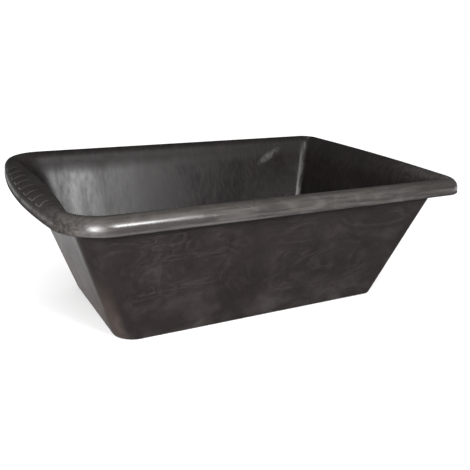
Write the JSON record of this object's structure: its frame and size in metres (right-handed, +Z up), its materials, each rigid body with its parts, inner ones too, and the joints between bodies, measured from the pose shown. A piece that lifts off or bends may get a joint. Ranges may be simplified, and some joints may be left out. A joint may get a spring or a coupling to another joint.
{
  "type": "wheelbarrow tray",
  "caption": "One-piece moulded plastic wheelbarrow tray: a deep tub with sloping walls, a hollow half-round rim and a wider bowed pouring lip at one end.",
  "frame": {"origin": "middle of the footprint box, on the underside of the floor", "axes": "+X along the tray, away from the pouring lip; +Y across it; +Z up, from the floor to the rim"},
  "size_m": [0.9796, 0.6502, 0.319],
  "materials": {
    "black_plastic": "smooth moulded polyethylene, satin, with faint flow marks and light scuffs"
  },
  "bodies": {
    "root": {"tray": "black_plastic"}
  },
  "joints": []
}
